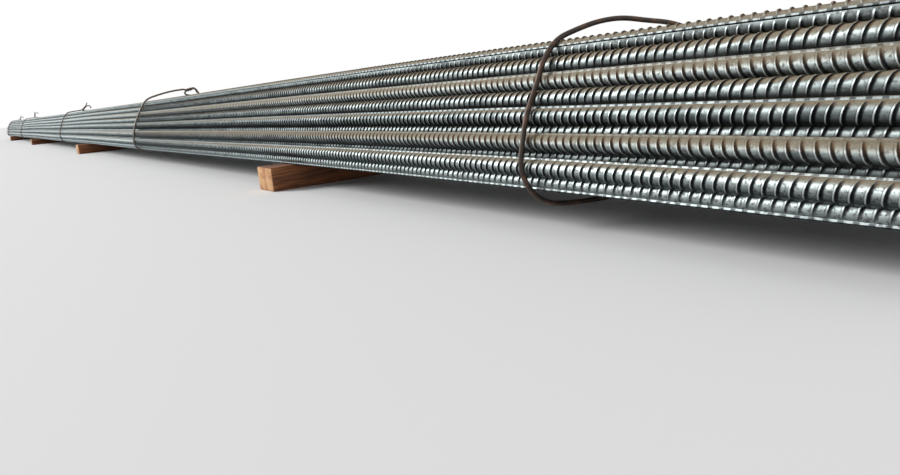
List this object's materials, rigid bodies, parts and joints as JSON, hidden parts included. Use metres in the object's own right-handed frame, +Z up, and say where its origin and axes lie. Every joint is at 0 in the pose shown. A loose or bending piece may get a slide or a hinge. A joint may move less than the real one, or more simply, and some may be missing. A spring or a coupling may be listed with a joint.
{
  "type": "rebar bundle",
  "caption": "Straight ribbed steel reinforcing bars, tied into a rounded bundle with twisted wire and lying on timber bearers.",
  "frame": {"origin": "centre of the bounding box, on the floor that the bearers stand on", "axes": "+X along the bars, +Z up"},
  "size_m": [12.06, 0.42, 0.3161],
  "materials": {
    "bar_steel": "hot-rolled mill scale with light rust",
    "tie_wire": "dark rusty wire rod",
    "timber": "rough sawn"
  },
  "bodies": {
    "root": {"bars_layer_1": "bar_steel", "bars_layer_2": "bar_steel", "bars_layer_3": "bar_steel", "bars_layer_4": "bar_steel", "bars_layer_5": "bar_steel", "bars_layer_6": "bar_steel", "bars_layer_7": "bar_steel", "bars_layer_8": "bar_steel", "bars_layer_9": "bar_steel", "bars_layer_10": "bar_steel", "timber_bearer_1": "timber", "timber_bearer_2": "timber", "timber_bearer_3": "timber", "timber_bearer_4": "timber", "wire_tie_1": "tie_wire", "wire_tie_2": "tie_wire", "wire_tie_3": "tie_wire", "wire_tie_4": "tie_wire", "wire_tie_5": "tie_wire"}
  },
  "joints": []
}
